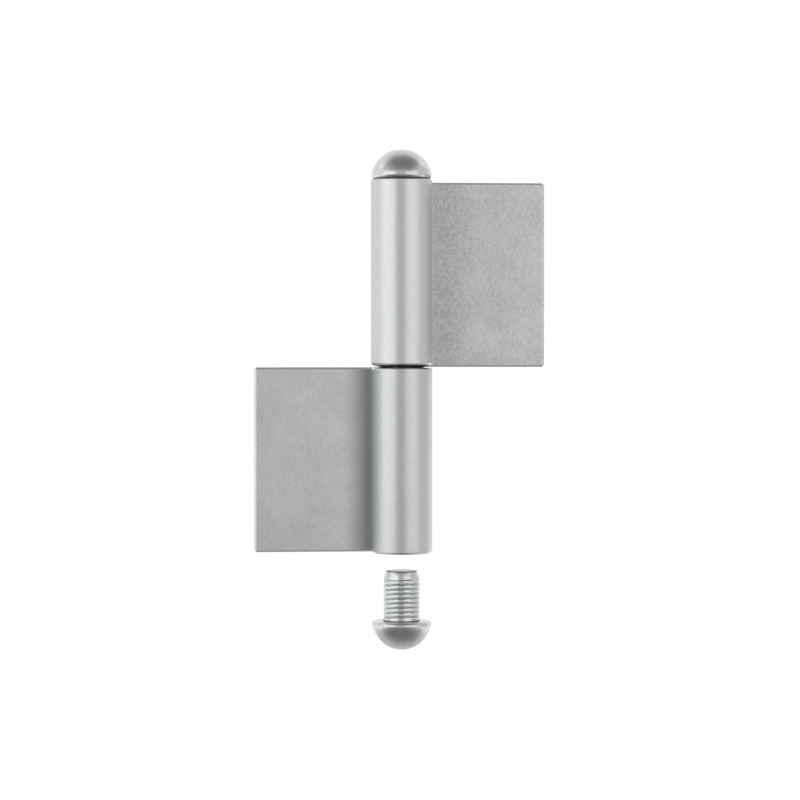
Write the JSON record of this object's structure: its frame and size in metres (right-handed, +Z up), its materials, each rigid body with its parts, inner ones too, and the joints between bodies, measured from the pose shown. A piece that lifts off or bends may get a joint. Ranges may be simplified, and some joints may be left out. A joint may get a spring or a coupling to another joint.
{
  "type": "weld-on hinge",
  "caption": "Weld-on flag hinge: drawn steel leaves whose knuckles turn on a hidden pin, with a thin black thrust washer between them and domed cap screws at the ends, the lower one taken out.",
  "frame": {"origin": "on the knuckle axis, halfway up the thrust washer between the two knuckles", "axes": "+Z up along the knuckle axis; the lower leaf points to -X and the upper leaf to +X, opened flat; +Y points at the surface that both leaves are welded to"},
  "size_m": [0.0954, 0.02, 0.1625],
  "materials": {
    "drawn_steel": "satin, blasted drawn steel, pale grey",
    "ground_pin_steel": "ground and hardened, fine grind marks",
    "black_washer": "black bearing plastic, turned",
    "zinc_plated_screw": "bright zinc plating, smooth"
  },
  "bodies": {
    "frame_half": {"lower_leaf": "drawn_steel", "hinge_pin": "ground_pin_steel"},
    "washer": {"thrust_washer": "black_washer"},
    "door_half": {"upper_leaf": "drawn_steel"},
    "upper_cap": {"upper_cap_screw": "zinc_plated_screw"},
    "lower_cap": {"lower_cap_screw": "zinc_plated_screw"}
  },
  "joints": [
    {"name": "door_swing", "type": "hinge", "parent": "frame_half", "child": "washer", "pos_m": [0, 0, 0], "axis": [0, 0, 1], "continuous": true},
    {"name": "door_lift", "type": "slide", "parent": "washer", "child": "door_half", "axis": [0, 0, 1], "range_m": [0, 0.045]},
    {"name": "upper_cap_out", "type": "slide", "parent": "door_half", "child": "upper_cap", "axis": [0, 0, 1], "range_m": [0, 0.0221]},
    {"name": "lower_cap_in", "type": "slide", "parent": "frame_half", "child": "lower_cap", "axis": [0, 0, 1], "range_m": [0, 0.0221]}
  ]
}
